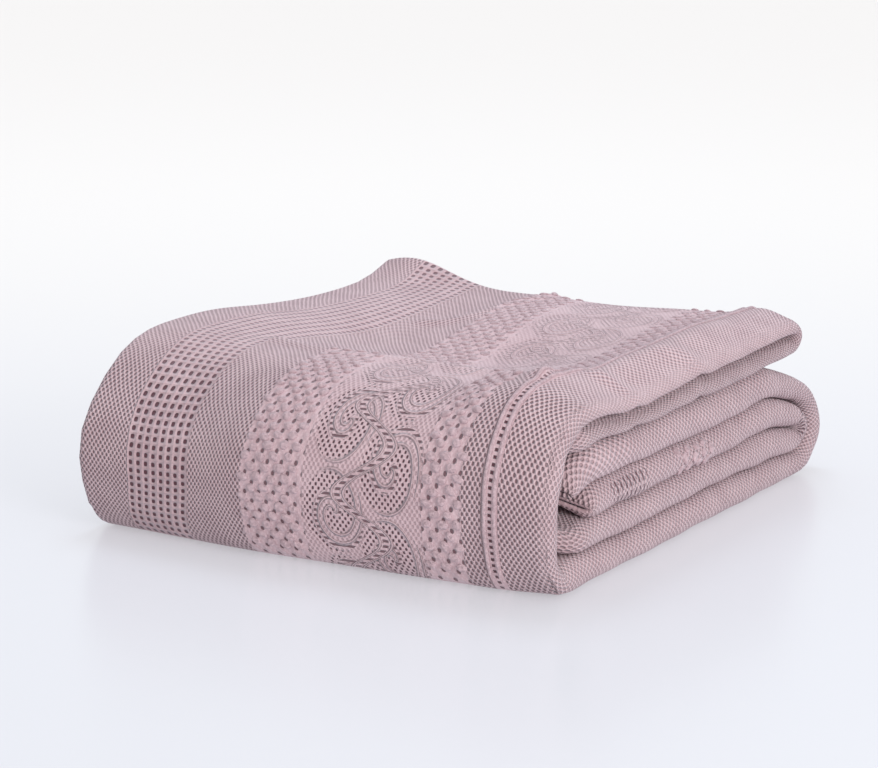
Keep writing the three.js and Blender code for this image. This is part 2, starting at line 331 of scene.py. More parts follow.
def ruffle(x, y, z):
    """A slow unevenness of the whole pile, strongest at the right end, that keeps its layers in order."""
    at_right, near_right = smooth(x, *RIGHT_END), smooth(x, *RIGHT_FOLD)
    short = SHORT_WAVE_SHARE * wave_at(y, z, SHORT_WAVE) * wave_at(y, z, SLOW_WAVE)
    wave = wave_at(y, z, LONG_WAVE) + short
    dip = np.exp(-((y - DIP_MIDDLE) / DIP_REACH) ** 2) * smooth(z, *DIP_HEIGHTS) * near_right
    sag = hump(z, *SAG_HEIGHTS) * smooth(x, *SAG_ACROSS) * (1 - smooth(y, *SAG_ALONG))
    z = z + (WAVE_RISE * wave * at_right - DIP_DEPTH * dip - SAG_DEPTH * sag) * smooth(z, *WAVE_HEIGHTS)
    tuck = near_right * np.clip(1 - z / FOOT_TUCK_TOP, 0, 1) ** 2 * (1 - smooth(y, *FOOT_TUCK_ALONG))
    y = y + FOOT_TUCK * tuck
    corner = near_right * hump(z, *CORNER_HEIGHTS) * np.exp(-((y - CORNER_MIDDLE) / CORNER_REACH) ** 2)
    z = z - CORNER_DROP * corner
    x = x + SWELL * near_right * (1 - smooth(y, *SWELL_ALONG)) * hump(z, *SWELL_HEIGHTS)
    x = x + LEFT_LEAN * smooth(-x, *LEFT_LEAN_ACROSS) * np.clip(1 - z / LEFT_LEAN_LEVEL, -1, 1)
    y = y + FAR_SAG * smooth(y, *FAR_SAG_ALONG) * (1 - smooth(z, *FAR_SAG_HEIGHTS))
    x = x - WAVE_INWARD * at_right * (1 + wave_at(y, z, EDGE_WAVE) * wave_at(y, z, EDGE_SLOW_WAVE))
    return x, y, z


moved = ruffle(RIGHT, NEAR, CLOTH)
print("the foot of the right end moves to", [round(float(v), 1) for v in moved])

# %% [markdown]
# ## Folding one place
# This is the heart of the model. A place on the flat cloth becomes a place on the strip's path, then a
# place in its ply, and then it settles with the pile. The cut ends are closed: their outer plies come
# together and their inner plies stay back, so the end is a soft lip.

# %% Fold a flat place
CREASE_START, CREASE_THINNING, CREASE_DROOP = RIGHT - 30, 0.35, 0.5
FLAP_SKEW, FLAP_EASE = 15.0, 10.0
FLAP_SPAN = (
    STARTS["flap top"] - FLAP_EASE,
    STARTS["flap top"] + FLAP_EASE,
    STARTS["inner shoulder"] - FLAP_EASE,
    STARTS["inner shoulder"] + FLAP_EASE,
)
INNER_RECESS = 34.0
INNER_SPAN = (
    STARTS["inner shoulder"],
    STARTS["inner shoulder"] + 40,
    STARTS["inner foot"] + 12,
    STARTS["band 3"] + 2,
)
END_ROUND, END_HOLD, END_HOLD_REACH, END_CLOSED = 18.0, 14.0, 30.0, 0.15
FAR_TAPER, FAR_TAPER_ALONG = 0.2, (120.0, 190.0)
LEFT_DRAW, LEFT_DRAW_ALONG = 8.0, (-60.0, FAR)
NEAR_DRAW, NEAR_DRAW_ACROSS, NEAR_DRAW_ALONG = 12.0, (-200.0, -20.0), (-190.0, -60.0)


def fold(s, t, lift=0.0):
    """Place in millimetres of a point s across and t along the flat cloth, lift above its outer face."""
    s, t = np.asarray(s, float), np.asarray(t, float)
    inside = 1 - smooth(s, LOOP_BC, C_START)
    closing = (1 - inside) * np.clip(1 - np.minimum(t, STRIP_LENGTH - t) / END_ROUND, 0, 1)
    from_start, from_end = t / END_HOLD_REACH, (STRIP_LENGTH - t) / END_HOLD_REACH
    t = t + END_HOLD * inside * (np.clip(1 - from_start, 0, 1) - np.clip(1 - from_end, 0, 1))
    y0, z0 = np.interp(t, path_t, path_y), np.interp(t, path_t, path_z)
    ny, nz = np.interp(t, path_t, path_ny), np.interp(t, path_t, path_nz)
    is_flap = hump(t, *FLAP_SPAN)
    pitch = np.interp(t, path_t, path_pitch)
    x, n = across(s, pitch, RIGHT - INNER_RECESS * hump(t, *INNER_SPAN))
    outward = np.where(n >= 0, 1.0, -1.0)
    crease = is_flap * smooth(x, CREASE_START, RIGHT)
    closed = END_CLOSED + (1 - END_CLOSED) * np.sqrt(1 - closing ** 2)
    lies = n * (1 - CREASE_THINNING * crease) * closed + lift * outward
    y, z = y0 + lies * ny, z0 + lies * nz - CREASE_DROOP * crease
    settled = (top_height(x, y) + is_flap * ridge_height(x, y)) / PILE_HEIGHT
    z = z * settled * (1 - (1 - is_flap) * FAR_TAPER * smooth(y, *FAR_TAPER_ALONG))
    y = y - is_flap * FLAP_SKEW * (x / RIGHT) * smooth(y, 0, FLAP_TURN)
    x, y, z = open_ends(x, y, z, t)
    x, y, z = ruffle(x, y, z)
    drawn_right = LEFT_DRAW * smooth(y, *LEFT_DRAW_ALONG) * np.maximum(0, x / LEFT)
    drawn_back = NEAR_DRAW * (1 - smooth(x, *NEAR_DRAW_ACROSS)) * (1 - smooth(y, *NEAR_DRAW_ALONG))
    return np.stack([x + drawn_right, y + drawn_back, z], -1)


corner_place = fold([C_START], [STARTS["flap top"]])[0]
print("ply c's left fold starts on the top at", [round(float(v), 1) for v in corner_place])

# %% [markdown]
# ## The flat cloth
# We add a grid of the cut size and slide its rows and columns, so that they are close together where the
# cloth turns. The grid is then divided again where it shows most. The UV map is the flat cloth in metres,
# so a pattern that is drawn on it follows every fold.

# %% Flat grid
COARSE, TURN_ROW = 20.0, 8.0
COLUMN_SIZES = {
    "a": COARSE,
    "loop ab": 3.0,
    "b": COARSE,
    "loop bc": 3.4,
    "c": COARSE,
    "loop cd": 5.2,
    "d": COARSE,
}
TIGHT_TURNS = ("flap end", "inner far wrap")


def spread(start, end, size):
    """Even places from start up to end, without end, at most size apart."""
    count = max(1, round((end - start) / size))
    return [start + (end - start) * i / count for i in range(count)]


columns = []
for (name, size), start in zip(PARTS, PART_START):
    columns += spread(start, start + size, COLUMN_SIZES[name])
columns.append(STRIP_WIDTH)
row_edges = list(STARTS.values()) + [STRIP_LENGTH]
rows = []
for (name, start), end in zip(STARTS.items(), row_edges[1:]):
    rows += spread(start, end, TURN_ROW if name in TIGHT_TURNS else COARSE)
rows.append(STRIP_LENGTH)
columns, rows = np.array(columns), np.array(rows)

bpy.ops.object.select_all(action="DESELECT")
bpy.ops.mesh.primitive_grid_add(x_subdivisions=len(columns) - 1, y_subdivisions=len(rows) - 1, size=1)
blanket = bpy.context.object
blanket.name = "blanket_cloth"
mesh = blanket.data
grid = np.zeros(len(mesh.vertices) * 3)
mesh.vertices.foreach_get("co", grid)
grid = grid.reshape(-1, 3)
column_of = np.rint((grid[:, 0] + 0.5) * (len(columns) - 1)).astype(int)
row_of = np.rint((grid[:, 1] + 0.5) * (len(rows) - 1)).astype(int)
flat = np.stack([columns[column_of], rows[row_of], np.zeros(len(grid))], -1) * MM
mesh.vertices.foreach_set("co", flat.ravel())
mesh.update()
print("grid of", len(columns), "by", len(rows))

# %% [markdown]
# ## Finer where it shows
# Faces are picked by their place on the flat cloth, and one subdivide call in edit mode cuts them finer.

# %% Divide what shows
TOP_CUTS, RIGHT_CUTS = 5, 2
SHOWN_FROM, SHOWN_TO = STARTS["near foot"] - 20, STARTS["flap under"]


def divide(obj, picks, cuts):
    """Cuts the faces whose flat centre (s, t) in millimetres is picked."""
    for face in obj.data.polygons:
        face.select = bool(picks(face.center[0] / MM, face.center[1] / MM))
    bpy.ops.object.mode_set(mode="EDIT")
    bpy.ops.mesh.select_mode(type="FACE")
    bpy.ops.mesh.subdivide(number_cuts=cuts, quadcorner="INNERVERT")
    bpy.ops.mesh.select_all(action="DESELECT")
    bpy.ops.object.mode_set(mode="OBJECT")


def shows_on_top(s, t):
    """True on ply c from the near foot, over the top, to the flap's far end."""
    return C_START < s < C_END and SHOWN_FROM < t < SHOWN_TO


def shows_at_right(s, t):
    """True on the outer loops of the right end."""
    return C_END < s < D_START


mesh.edges.foreach_set("select", np.zeros(len(mesh.edges), bool))
mesh.vertices.foreach_set("select", np.zeros(len(mesh.vertices), bool))
divide(blanket, shows_on_top, TOP_CUTS)
divide(blanket, shows_at_right, RIGHT_CUTS)
print("flat cloth has", len(mesh.polygons), "faces")

# %% [markdown]
# ## Fold it
# The flat places go into the UV map first. Then every vertex is moved to its folded place, the sheet gets
# its thickness from a Solidify modifier, and its faces are smoothed.

# %% Fold and thicken


def write_flat_uv(obj):
    """Stores the flat place of each corner, in metres, as the UV map."""
    data = obj.data
    place = np.zeros(len(data.vertices) * 3)
    data.vertices.foreach_get("co", place)
    corner = np.zeros(len(data.loops), int)
    data.loops.foreach_get("vertex_index", corner)
    layer = data.uv_layers.active
    layer.name = "flat"
    layer.data.foreach_set("uv", place.reshape(-1, 3)[corner, :2].ravel())


def apply_fold(obj):
    """Moves the flat mesh's vertices to their folded places."""
    data = obj.data
    place = np.zeros(len(data.vertices) * 3)
    data.vertices.foreach_get("co", place)
    place = place.reshape(-1, 3) / MM
    folded = fold(place[:, 0], place[:, 1]) * MM
    data.vertices.foreach_set("co", folded.ravel())
    data.update()


def use_modifier(obj, kind, **settings):
    """Adds one modifier, sets it and applies it."""
    bpy.ops.object.select_all(action="DESELECT")
    obj.select_set(True)
    bpy.context.view_layer.objects.active = obj
    modifier = obj.modifiers.new(kind.title(), kind)
    for key, value in settings.items():
        setattr(modifier, key, value)
    bpy.ops.object.modifier_apply(modifier=modifier.name)


write_flat_uv(blanket)
apply_fold(blanket)
use_modifier(blanket, "SOLIDIFY", thickness=CLOTH * MM, offset=0, use_even_offset=False)
bpy.ops.object.shade_smooth()
print("folded cloth has", sum(len(f.vertices) - 2 for f in blanket.data.polygons), "triangles")

# %% [markdown]
# ## Signals
# A shader node tree is a sum written with boxes and wires. This small class lets us write the same sum as
# Python, so a hole can be a cosine times a cosine, and the long list of nodes stays readable. The
# functions after it give what both cotton finishes and the floor need: noise, a bump, and a Principled
# shader.

# %% Signals


class Signal:
    """One output of a shader node. Arithmetic on it adds Math nodes."""

    tree = None

    def __init__(self, socket):
        self.socket = socket

    @staticmethod
    def node(kind, settings, inputs, output=0):
        """Adds a node of any kind, sets it, and wires or sets its inputs."""
        made = Signal.tree.nodes.new(kind)
        for key, value in settings.items():
            setattr(made, key, value)
        for key, value in inputs.items():
            if isinstance(value, Signal):
                Signal.tree.links.new(value.socket, made.inputs[key])
            else:
                made.inputs[key].default_value = value
        return Signal(made.outputs[output])

    @staticmethod
    def math(operation, *values):
        return Signal.node("ShaderNodeMath", {"operation": operation}, dict(enumerate(values)))

    def __add__(self, other):
        return Signal.math("ADD", self, other)

    __radd__ = __add__

    def __sub__(self, other):
        return Signal.math("SUBTRACT", self, other)

    def __rsub__(self, other):
        return Signal.math("SUBTRACT", other, self)

    def __mul__(self, other):
        return Signal.math("MULTIPLY", self, other)

    __rmul__ = __mul__

    def __truediv__(self, other):
        return Signal.math("DIVIDE", self, other)

    def cos(self):
        return Signal.math("COSINE", self)

    def sin(self):
        return Signal.math("SINE", self)

    def size(self):
        return Signal.math("ABSOLUTE", self)

    def power(self, exponent):
        return Signal.math("POWER", self, exponent)

    def highest(self, other):
        return Signal.math("MAXIMUM", self, other)

    def wrap(self, middle, pitch):
        """Distance from the nearest of a row of places, from minus to plus half the pitch."""
        return Signal.math("WRAP", self - middle, -pitch / 2, pitch / 2)

    def rise(self, start, end):
        """0 below start and 1 above end, or the other way round when start is the larger."""
        settings = {"interpolation_type": "SMOOTHSTEP"}
        return Signal.node("ShaderNodeMapRange", settings, {0: self, 1: start, 2: end, 3: 0.0, 4: 1.0})

    def between(self, start, end, soft):
        """1 between start and end, with soft sides."""
        return self.rise(start - soft, start + soft) * self.rise(end + soft, end - soft)


def blend(share, low_value, high_value):
    """low_value where share is 0 and high_value where it is 1, for numbers."""
    return share * (high_value - low_value) + low_value


def mix_colour(share, low_colour, high_colour):
    """The same for colours."""
    settings = {"data_type": "RGBA"}
    return Signal.node("ShaderNodeMix", settings, {0: share, 6: low_colour, 7: high_colour}, output=2)


def strongest(signals):
    """The highest of several signals."""
    highest = signals[0]
    for other in signals[1:]:
        highest = highest.highest(other)
    return highest


def parts_of(place):
    """The X and the Y of a place."""
    split = Signal.tree.nodes.new("ShaderNodeSeparateXYZ")
    Signal.tree.links.new(place.socket, split.inputs[0])
    return Signal(split.outputs[0]), Signal(split.outputs[1])


def noise(place, scale, detail):
    """Noise from 0 to 1."""
    return Signal.node("ShaderNodeTexNoise", {}, {"Vector": place, "Scale": scale, "Detail": detail})


def bumped(height, distance):
    """The surface's normal, tilted by a height."""
    return Signal.node("ShaderNodeBump", {}, {"Height": height, "Strength": 1.0, "Distance": distance})


def new_finish(name, settings):
    """A material whose Principled shader has these settings. New signals go to its tree."""
    made = bpy.data.materials.new(name)
    made.use_nodes = True
    Signal.tree = made.node_tree
    shader = made.node_tree.nodes["Principled BSDF"]
    for key, value in settings.items():
        shader.inputs[key].default_value = value
    return made, shader


def plug(shader, signals):
    """Wires signals to the shader's inputs."""
    for key, signal in signals.items():
        Signal.tree.links.new(signal.socket, shader.inputs[key])


methods = [name for name, made in vars(Signal).items() if callable(made) and not name.startswith("_")]
print("a signal can be added and multiplied, and has", ", ".join(methods))

# %% [markdown]
# ## Stripes of the pattern
# Along the width of ply c the knit changes: plain mesh, a band of ladder holes, mesh, bobbles, scrolls,
# bobbles, mesh, a double cord and the border. Their places are in millimetres from the left fold.

# %% Stripes
HOLES_FROM, HOLE_PITCH, HOLE_ROW, HOLE_COLUMNS = 35.8, 6.46, 5.95, 8
BOBBLES_1 = (134.8, 182.8)
SCROLLS = (182.8, 270.5)
BOBBLES_2 = (270.5, 299.1)
CORDS = (316.8, 323.6)
BOBBLE_ACROSS, BOBBLE_ALONG = 11.0, 13.2
MESH_ACROSS, MESH_ALONG = 3.6, 5.0
# The ladder band is drawn to the right round the near shoulder, and less so further from the left fold.
DRAWN_AT, DRAWN_REACH, DRAWN_BY = STARTS["near shoulder"] - 2.0, 58.0, 7.0
DRAWN_ACROSS = (132.0, 90.0)
SCROLL_MIDDLE, SCROLL_REPEAT = (SCROLLS[0] + SCROLLS[1]) / 2, 118.0
VOLUTES = [
    # across from the scrolls' middle, along, handedness
    (-20.0, 20.0, 1.0),
    (21.0, 50.0, -1.0),
    (-19.0, 79.0, -1.0),
    (20.0, 109.0, 1.0),
]
VOLUTE_REACH, VOLUTE_PITCH, VOLUTE_STRETCH = 22.0, 19.0, 1.3
# Shares of a volute's pitch, from and to, and the softness of the sides.
VOLUTE_MESH, VOLUTE_RUNGS = (0.34, 0.78, 0.03), (0.18, 0.28, 0.015)
VOLUTE_EDGES = [(0.07, 0.14, 0.03), (0.83, 0.90, 0.03)]
# The stem's swing and start, and in millimetres from its middle line its side, raised edge and slits.
STEM_SWING, STEM_START = 17.0, 1.2
STEM_SIDE, STEM_EDGE, STEM_SLITS = (6.0, 5.4), (3.6, 5.2, 0.5), (2.3, 1.5)
band_2_far = STARTS["band 2"] + FAR_TURN
LADDER_PATCHES = [
    # along from, to, across from, to, pitch along
    (band_2_far + 72, band_2_far + 126, 359.0, 375.0, 6.75),
    (STARTS["inner far wrap"] + 4, STARTS["inner far wrap"] + 30, 359.0, 375.0, 5.0),
]


def staggered(across, along, pitch_across, pitch_along):
    """A field that peaks at 1 on a staggered lattice of places."""
    return (across * (2 * math.pi / pitch_across)).cos() * (along * (2 * math.pi / pitch_along)).cos()


def scroll_forms(k, t):
    """Three fields of the scroll band: open mesh, raised outline, and the ladder holes beside it."""
    windows, outlines, ladders = [], [], []
    for offset, along, hand in VOLUTES:
        dk = k - (SCROLL_MIDDLE + offset)
        dt = t.wrap(along, SCROLL_REPEAT) / VOLUTE_STRETCH
        radius = (dk * dk + dt * dt).power(0.5)
        turn = Signal.math("ARCTAN2", dt, dk) * (hand / (2 * math.pi))
        phase = Signal.math("WRAP", radius / VOLUTE_PITCH - turn, 0.0, 1.0)
        inside = radius.rise(VOLUTE_REACH + 1, VOLUTE_REACH - 1)
        windows.append(phase.between(*VOLUTE_MESH) * inside)
        outlines.append(strongest([phase.between(*edge) for edge in VOLUTE_EDGES]) * inside)
        ladders.append(phase.between(*VOLUTE_RUNGS) * inside)
    wave = (t * (2 * math.pi / SCROLL_REPEAT * 2) + STEM_START).sin() * STEM_SWING
    off_stem = (k - SCROLL_MIDDLE - wave).size()
    on_stem = off_stem.rise(*STEM_SIDE)
    outline = blend(on_stem, strongest(outlines), off_stem.between(*STEM_EDGE))
    ladder = blend(on_stem, strongest(ladders), off_stem.rise(*STEM_SLITS))
    window = strongest(windows) * (1 - on_stem)
    return window, outline, ladder


print("scrolls repeat every", SCROLL_REPEAT, "mm, and the ladder band has", HOLE_COLUMNS, "columns")

# %% [markdown]
# ## The knit itself
# Height and painted shade are worked out together: a hole is low and shaded, a rib is high and light. The
# height goes to a Bump node and the painted shade mixes the yarn's colour with the shade inside a hole.

# %% Knit material
YARN_DEEP, YARN_PALE = (0.53, 0.355, 0.38, 1), (0.62, 0.435, 0.46, 1)
YARN_FLECK_AND_HIGHLIGHT, HOLE_SHADE = (0.78, 0.62, 0.65, 1), (0.10, 0.034, 0.045, 1)
COTTON = {
    "Roughness": 0.85,
    "Sheen Weight": 0.35,
    "Sheen Roughness": 0.45,
    "Sheen Tint": (0.88, 0.90, 1.0, 1),
    "Specular IOR Level": 0.2,
}
WOBBLE_SCALE, WOBBLE_ACROSS, WOBBLE_ALONG = 55.0, 1.3, 0.8
HOLE_MARGIN, STRIPE_SOFT, CORD_SOFT = 3.6, 0.8, 0.4
HOLE_HALF_ACROSS, HOLE_HALF_ALONG = 1.6, 1.75
# Shift from each bobble to the painted shadow pocket beside it, across and along.
SHADOW_SHIFT_ACROSS, SHADOW_SHIFT_ALONG = 1.5, 3.4
SCROLL_MESH_ACROSS, SCROLL_MESH_ALONG = 4.3, 5.2
RUNG_PITCH, SLIT_ACROSS = 3.9, 8.0
# The double cord's whole stripe, the stitches between its cords and the groove beside them, with soft sides.
CORD_STRIPE = (CORDS[0] - 2.5, CORDS[1] + 2.0, CORD_SOFT)
CORD_STITCHES = (CORDS[0] + 2.4, CORDS[1] - 2.2, 0.3)
CORD_GROOVE = (CORDS[0] - 2.8, CORDS[0] - 1.8, CORD_SOFT)
# Where each field begins to count as painted shade, and where it is wholly shaded.
MESH_EDGE, LADDER_EDGE, SHADOW_POCKET_EDGE = (0.08, 0.55), (1.25, 0.55), (0.62, 0.9)
SCROLL_MESH_EDGE, RUNG_EDGE, CORD_EDGE = (0.15, 0.7), (-0.1, 0.6), (-0.2, 0.6)
SLIT_EDGE, BAR_EDGE, SLIT_SOFT = (1.6, 0.8), (0.6, 1.4), 0.3
# How much painted shade each has, from 0 to 1.
MESH_DARK, SCROLL_GROUND_DARK, BOBBLE_SHADOW_DARK, RUNG_DARK = 0.8, 0.28, 0.85, 0.85
GROOVE_DARK, SLIT_DARK, MOST_DARK = 0.55, 0.9, 0.97
# How high or deep each is, in stitch heights.
STITCH_HIGH, MESH_DEEP, KNOT_HIGH, KNOT_SHARE, LADDER_DEEP = -0.5, 0.9, 1.2, 0.7, 1.8
LUMP_HIGH, SHADOW_POCKET_DEEP, CORD_DEEP = 0.5, 1.2, 1.2
OUTLINE_HIGH, WINDOW_DEEP, SCROLL_DEEP = 1.4, 0.4, 1.4
FUZZ_HIGH, TOP_FLATTER, STITCH_HEIGHT = 0.35, 0.5, 0.0014
# The knit is paler on the folded edge and on the top, where holes close: the painted shade in its holes is
# weaker there.
SIDE_PALER_ACROSS, SIDE_DARK = (350, 356), 0.42
TOP_SOFT, TOP_PALER, TOP_WORKED_PALER = 25.0, 0.3, 0.25
FUZZ_SCALE, CLOUD_SCALE, FLECK_AND_HIGHLIGHT_SHARE = 900.0, 40.0, 0.3
CLOUD_SPAN, FUZZ_SPAN, LIT_EDGE = (0.3, 0.7), (0.25, 0.75), (0.0, -0.8)


def knit_place(uv):
    """Millimetres across ply c and along the cloth, a little uneven as knit is."""
    shift = (noise(uv, WOBBLE_SCALE, 1.0) - 0.5) * WOBBLE_ACROSS
    across_uv, along_uv = parts_of(uv)
    t = along_uv * 1000 + shift * WOBBLE_ALONG
    k = across_uv * 1000 - C_START + shift
    drawn = ((t - DRAWN_AT).size() / DRAWN_REACH).rise(1.0, 0.0) * k.rise(*DRAWN_ACROSS)
    return k - drawn * DRAWN_BY, t


def stripe_masks(k):
    """1 on the ladder band, the bobbles, the scrolls and the double cord, and 0 elsewhere."""
    holes_to = HOLES_FROM + HOLE_PITCH * (HOLE_COLUMNS - 1)
    on_holes = k.between(HOLES_FROM - HOLE_MARGIN, holes_to + HOLE_MARGIN, CORD_SOFT)
    on_bobbles = k.between(*BOBBLES_1, STRIPE_SOFT).highest(k.between(*BOBBLES_2, STRIPE_SOFT))
    on_scrolls = k.between(*SCROLLS, STRIPE_SOFT)
    on_cords = k.between(*CORD_STRIPE)
    return on_holes, on_bobbles, on_scrolls, on_cords


def slit_patches(k, t):
    """The slits of the ladder patches on the folded edge, which are given painted shade."""
    patches = []
    for t_from, t_to, k_from, k_to, pitch in LADDER_PATCHES:
        inside = t.between(t_from, t_to, SLIT_SOFT) * k.between(k_from, k_to, SLIT_SOFT)
        slits = t.wrap(t_from, pitch).size().rise(*SLIT_EDGE)
        bars = k.wrap(k_from, SLIT_ACROSS).size().rise(*BAR_EDGE)
        patches.append(inside * (slits * bars))
    return strongest(patches)


def cord_hollow_shade(k, t):
    """Painted shade in the stitches between the two cords, and in the groove beside them."""
    stitches = (t * (2 * math.pi / RUNG_PITCH)).cos().rise(*CORD_EDGE)
    return (k.between(*CORD_STITCHES) * stitches).highest(k.between(*CORD_GROOVE) * GROOVE_DARK)


def knit_forms(k, t, on_top):
    """The knit's painted shade in holes and hollows, its height in stitch heights, and where a painted
    highlight falls on a stitch.
    """
    on_holes, on_bobbles, on_scrolls, on_cords = stripe_masks(k)
    stitches = staggered(k, t, MESH_ACROSS, MESH_ALONG)
    mesh_holes = stitches.rise(*MESH_EDGE)

    hole_across, hole_along = k.wrap(HOLES_FROM, HOLE_PITCH).size(), t.wrap(0, HOLE_ROW).size()
    hole_shape = (hole_across / HOLE_HALF_ACROSS).power(3) + (hole_along / HOLE_HALF_ALONG).power(3)
    ladder = hole_shape.rise(*LADDER_EDGE)
    off_across, off_along = hole_across / (HOLE_PITCH / 2), hole_along / (HOLE_ROW / 2)
    off_middle = off_across.power(2) * KNOT_SHARE + off_along.power(2) * KNOT_SHARE

    lumps_here = staggered(k, t, BOBBLE_ACROSS, BOBBLE_ALONG)
    # A painted shadow pocket beside each bobble, also sunk a little by the bump.
    shadow_pockets = staggered(k - SHADOW_SHIFT_ACROSS, t - SHADOW_SHIFT_ALONG, BOBBLE_ACROSS, BOBBLE_ALONG)
    shadow_pockets = shadow_pockets.rise(*SHADOW_POCKET_EDGE) * BOBBLE_SHADOW_DARK

    window, outline, scroll_ladder = scroll_forms(k, t)
    scroll_holes = staggered(k, t, SCROLL_MESH_ACROSS, SCROLL_MESH_ALONG).rise(*SCROLL_MESH_EDGE)
    rungs = (t * (2 * math.pi / RUNG_PITCH)).cos().rise(*RUNG_EDGE) * RUNG_DARK
    scroll_shade = blend(window, mesh_holes * SCROLL_GROUND_DARK, scroll_holes)
    scroll_shade = blend(scroll_ladder, scroll_shade, rungs)
    scroll_shade = blend(outline, scroll_shade, 0.0)
    cord_shade = cord_hollow_shade(k, t)

    # Painted shade: the knit's holes, hollows, groove and slits are darkened in the colour for the shade
    # inside them.
    painted_shade = blend(on_holes, mesh_holes * MESH_DARK, ladder)
    painted_shade = blend(on_bobbles, painted_shade, shadow_pockets)
    painted_shade = blend(on_scrolls, painted_shade, scroll_shade)
    painted_shade = blend(on_cords, painted_shade, cord_shade)
    painted_shade = blend(k.rise(*SIDE_PALER_ACROSS), painted_shade, painted_shade * SIDE_DARK).highest(slit_patches(k, t) * SLIT_DARK)
    worked = on_bobbles.highest(on_scrolls)
    painted_shade = painted_shade * (1 - on_top * (worked * TOP_WORKED_PALER + TOP_PALER))

    mesh_height = stitches * STITCH_HIGH - mesh_holes * MESH_DEEP
    height = blend(on_holes, mesh_height, off_middle * KNOT_HIGH - ladder * LADDER_DEEP)
    height = blend(on_bobbles, height, lumps_here * LUMP_HIGH - shadow_pockets * SHADOW_POCKET_DEEP)
    scroll_height = outline * OUTLINE_HIGH - window * WINDOW_DEEP - scroll_shade * SCROLL_DEEP
    height = blend(on_scrolls, height, scroll_height)
    height = blend(on_cords, height, cord_shade * -CORD_DEEP)
    lit_stitches = (1 - on_holes) * stitches.rise(*LIT_EDGE)
    return painted_shade, height, lit_stitches


def knit_material(name):
    """The dusty pink cotton knit, drawn on the flat cloth's UV map."""
    made, shader = new_finish(name, COTTON)
    uv = Signal.node("ShaderNodeUVMap", {"uv_map": "flat"}, {})
    k, t = knit_place(uv)
    on_top = t.between(STARTS["flap top"], STARTS["flap end"], TOP_SOFT)
    painted_shade, height, lit_stitches = knit_forms(k, t, on_top)
    fuzz = noise(uv, FUZZ_SCALE, 2.0)
    cloudy = noise(uv, CLOUD_SCALE, 3.0)
    yarn_colour = mix_colour(cloudy.rise(*CLOUD_SPAN), YARN_DEEP, YARN_PALE)
    # Random fuzz flecks and a painted highlight on the strands between holes both pale the yarn.
    flecks_and_highlight = fuzz.rise(*FUZZ_SPAN) * FLECK_AND_HIGHLIGHT_SHARE + lit_stitches * FLECK_AND_HIGHLIGHT_SHARE
    yarn_colour = mix_colour(flecks_and_highlight, yarn_colour, YARN_FLECK_AND_HIGHLIGHT)
    # The painted shade mixes the yarn towards the colour of a shaded hole.
    colour = mix_colour(painted_shade * MOST_DARK, yarn_colour, HOLE_SHADE)
    normal = bumped(height * (1 - on_top * TOP_FLATTER) + fuzz * FUZZ_HIGH, STITCH_HEIGHT)
    plug(shader, {"Base Color": colour, "Normal": normal})
    return made


knit = knit_material("knit")
blanket.data.materials.append(knit)
print("knit material has", len(knit.node_tree.nodes), "nodes")

# %% [markdown]
# ## Bobbles
# Each bobble is a small rounded lump of yarn. One lump is made, copied to its places on the folded cloth,
# turned to face out, and all copies are joined into one piece.

# %% Bobbles
LUMP_WIDE, LUMP_LONG, LUMP_SPREAD = 4.2, 3.1, (0.8, 1.12)
LUMP_TURN, LUMP_TURN_SPREAD, LUMP_SHIFT = -25, 14, 0.5
LUMP_MARGIN, MOST_COLUMNS = 2, 6
NEAR_RISE, TOP_RISE, PATCH_RISE = 2.3, 1.3, 1.6
DENT_X, DENT_Y, DENT_REACH, DENT_DEPTH = 0.3, 0.55, 0.18, 0.75
wrap_start, wrap_end = STARTS["near foot"] + 12, STARTS["flap under"] - 8
on_top_from = STARTS["flap top"] + 20
BOBBLE_FIELDS = [
    # across from, to, along from, to, rise
    (*BOBBLES_1, wrap_start, on_top_from, NEAR_RISE),
    (*BOBBLES_1, on_top_from, wrap_end, TOP_RISE),
    (*BOBBLES_2, wrap_start, on_top_from, NEAR_RISE),
    (*BOBBLES_2, on_top_from, wrap_end, TOP_RISE),
    (357.0, 378.0, band_2_far - 24, band_2_far + 24, PATCH_RISE),
]
rng = np.random.default_rng(5)


def frame_on_cloth(s, t, lift):
    """Matrix that stands a thing on the cloth's outer face, in metres: X across, Y along, Z outward."""
    spots = fold(np.array([s, s + 1.0, s]), np.array([t, t, t + 1.0])) * MM
    origin = Vector(spots[0])
    across_dir, along_dir = Vector(spots[1] - spots[0]), Vector(spots[2] - spots[0])
    across_dir.normalize()
    out_dir = across_dir.cross(along_dir).normalized()
    along_dir = out_dir.cross(across_dir)
    turn = Matrix((across_dir, along_dir, out_dir)).transposed()
    return Matrix.Translation(origin + out_dir * lift * MM) @ turn.to_4x4()


def join_all(objects, name):
    """Joins objects into one, leaves it at the world's origin, and names it."""
    bpy.ops.object.select_all(action="DESELECT")
    for obj in objects:
        obj.select_set(True)
    bpy.context.view_layer.objects.active = objects[0]
    bpy.ops.object.join()
    joined = bpy.context.object
    bpy.ops.object.transform_apply(location=True, rotation=True, scale=True)
    joined.name = name
    bpy.ops.object.shade_smooth()
    return joined


def dented_lump():
    """A ball of radius 1 with a dent beside its top."""
    bpy.ops.object.select_all(action="DESELECT")
    bpy.ops.mesh.primitive_ico_sphere_add(subdivisions=2, radius=1.0)
    ball = bpy.context.object
    for vertex in ball.data.vertices:
        away = (vertex.co.x - DENT_X) ** 2 + (vertex.co.y - DENT_Y) ** 2
        vertex.co.z -= DENT_DEPTH * math.exp(-away / DENT_REACH) * max(0.0, vertex.co.z)
    return ball


